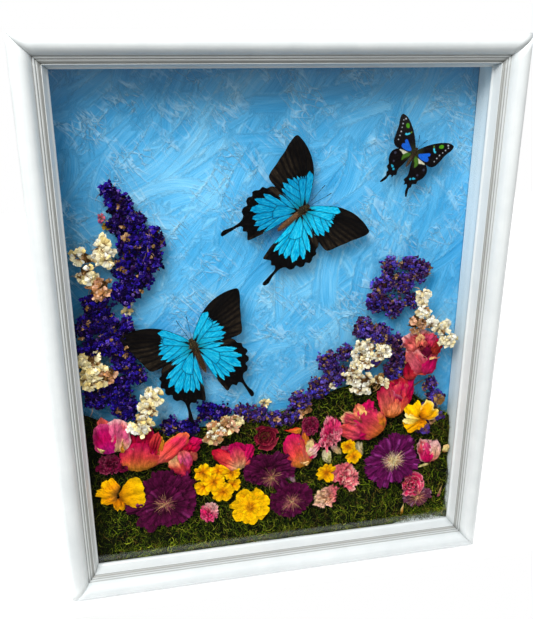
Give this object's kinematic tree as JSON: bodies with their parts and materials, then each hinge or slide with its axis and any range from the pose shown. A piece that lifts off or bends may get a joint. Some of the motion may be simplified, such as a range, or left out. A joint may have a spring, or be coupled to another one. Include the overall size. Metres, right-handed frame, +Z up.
{
  "type": "butterfly shadow box",
  "caption": "Deep white moulded frame with mounted swallowtail butterflies above dried flowers, statice and moss, sealed behind glass.",
  "frame": {"origin": "under the middle of the base, on the surface that the box stands on", "axes": "+Z up, -Y out through the glass, +X to the right as seen from the front"},
  "size_m": [0.452, 0.067, 0.552],
  "materials": {
    "white_paint": "satin white paint on wood moulding",
    "glass": "clear picture glass",
    "liner_board": "pale blue-grey matt board",
    "blue_plaster": "blue painted plaster with trowel strokes",
    "hardboard": "bare brown hardboard",
    "butterfly": "scaled wings, black with structural blue",
    "moss": "dried fibrous moss",
    "rose_petal": "dried rose and carnation petals",
    "plum_petal": "dried plum petals",
    "yellow_petal": "pressed yellow petals",
    "purple_statice": "dried purple statice florets",
    "cream_statice": "dried cream statice florets"
  },
  "bodies": {
    "root": {"aster_purple": "plum_petal", "back_panel": "hardboard", "butterfly_lower": "butterfly", "butterfly_small": "butterfly", "butterfly_upper": "butterfly", "carnation_dark_left": "rose_petal", "carnation_dark_mid": "rose_petal", "carnation_peach": "rose_petal", "carnation_pink": "rose_petal", "carnation_tall": "rose_petal", "frame_bottom_rail": "white_paint", "frame_left_stile": "white_paint", "frame_right_stile": "white_paint", "frame_top_rail": "white_paint", "glass_pane": "glass", "liner_bottom": "liner_board", "liner_left": "liner_board", "liner_right": "liner_board", "liner_top": "liner_board", "moss_bank": "moss", "painted_panel": "blue_plaster", "rose_burgundy": "rose_petal", "rose_large_right": "rose_petal", "rose_lower_right": "rose_petal", "rose_red_left": "rose_petal", "rose_red_middle": "rose_petal", "rose_salmon": "rose_petal", "rosebud_low_pink": "rose_petal", "rosebud_magenta": "rose_petal", "rosebud_orange": "rose_petal", "rosebud_pink_left": "rose_petal", "rosebud_right": "rose_petal", "rosebud_small": "rose_petal", "rosebud_wedge": "rose_petal", "statice_cream_left": "cream_statice", "statice_cream_left_low": "cream_statice", "statice_cream_left_top": "cream_statice", "statice_cream_mid": "cream_statice", "statice_cream_right": "cream_statice", "statice_cream_right_top": "cream_statice", "statice_purple_far_right": "purple_statice", "statice_purple_left_low": "purple_statice", "statice_purple_left_mid": "purple_statice", "statice_purple_left_shoulder": "purple_statice", "statice_purple_left_top": "purple_statice", "statice_purple_mid_left": "purple_statice", "statice_purple_mid_right": "purple_statice", "statice_purple_right_low": "purple_statice", "statice_purple_right_mid": "purple_statice", "statice_purple_right_top": "purple_statice", "yellow_flower_cluster": "yellow_petal", "yellow_flower_left": "yellow_petal", "yellow_flower_low": "yellow_petal", "yellow_flower_mid": "yellow_petal", "yellow_flower_right": "yellow_petal", "yellow_flower_round": "yellow_petal", "zinnia_faded": "plum_petal", "zinnia_plum_left": "plum_petal", "zinnia_plum_low": "plum_petal", "zinnia_plum_mid": "plum_petal"}
  },
  "joints": []
}
